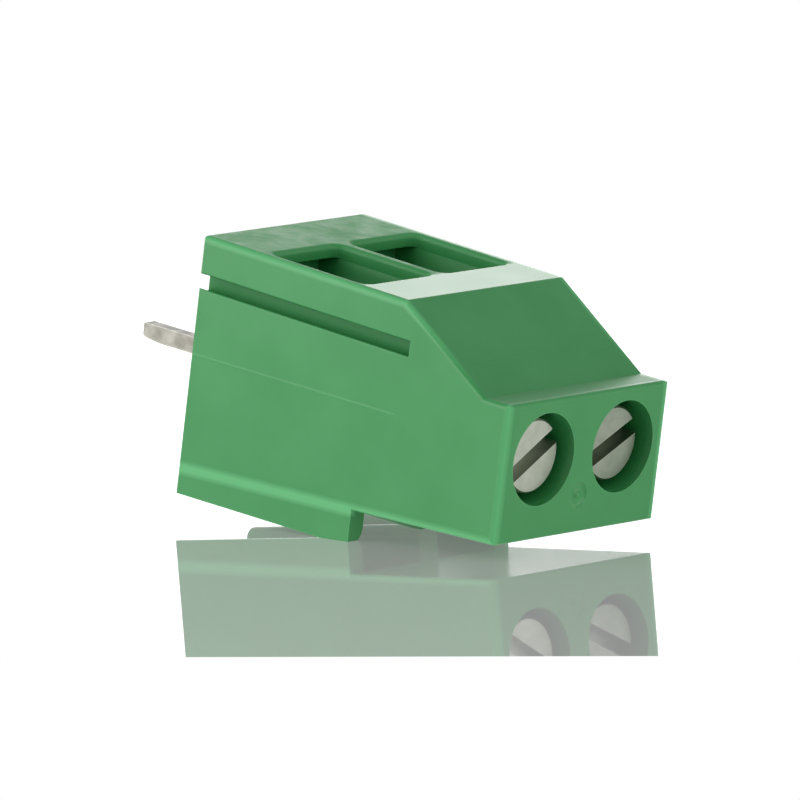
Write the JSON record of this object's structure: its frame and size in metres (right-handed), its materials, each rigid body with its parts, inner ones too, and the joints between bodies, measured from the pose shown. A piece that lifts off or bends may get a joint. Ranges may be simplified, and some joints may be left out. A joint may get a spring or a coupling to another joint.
{
  "type": "pcb screw terminal",
  "caption": "Board-mounted screw terminal block: moulded housing with square wire entries, slotted clamp screws, rising cages and solder pins.",
  "frame": {"origin": "centre of the solder-pin row, on the board plane", "axes": "+Z away from the board, towards the screws; wires enter from -Y; +X along the pin row, towards the grooved side"},
  "size_m": [0.0108, 0.0109, 0.0215],
  "materials": {
    "green_plastic": "satin moulded polyamide, slightly glossy at grazing angles",
    "screw_steel": "zinc-plated steel, dull",
    "cage_steel": "plated folded steel sheet",
    "tinned_bar": "tin-plated copper alloy, dull grey"
  },
  "bodies": {
    "housing": {"housing": "green_plastic", "pin_bar_left": "tinned_bar", "pin_bar_right": "tinned_bar"},
    "screw_left": {"screw_left": "screw_steel"},
    "screw_right": {"screw_right": "screw_steel"},
    "cage_left": {"cage_left": "cage_steel"},
    "cage_right": {"cage_right": "cage_steel"}
  },
  "joints": [
    {"name": "screw_turn_left", "type": "hinge", "parent": "housing", "child": "screw_left", "pos_m": [-0.00254, 0.00042, 0.0135], "axis": [0, 0, -1], "range_deg": [0, 2376]},
    {"name": "cage_rise_left", "type": "slide", "parent": "housing", "child": "cage_left", "axis": [0, 0, 1], "range_m": [0, 0.00297]},
    {"name": "screw_turn_right", "type": "hinge", "parent": "housing", "child": "screw_right", "pos_m": [0.00254, 0.00042, 0.0135], "axis": [0, 0, -1], "range_deg": [0, 2376]},
    {"name": "cage_rise_right", "type": "slide", "parent": "housing", "child": "cage_right", "axis": [0, 0, 1], "range_m": [0, 0.00297]}
  ],
  "couplings": [
    {"joint": "screw_turn_left", "follows": "cage_rise_left", "rad_per_m": 13963},
    {"joint": "screw_turn_right", "follows": "cage_rise_right", "rad_per_m": 13963}
  ]
}
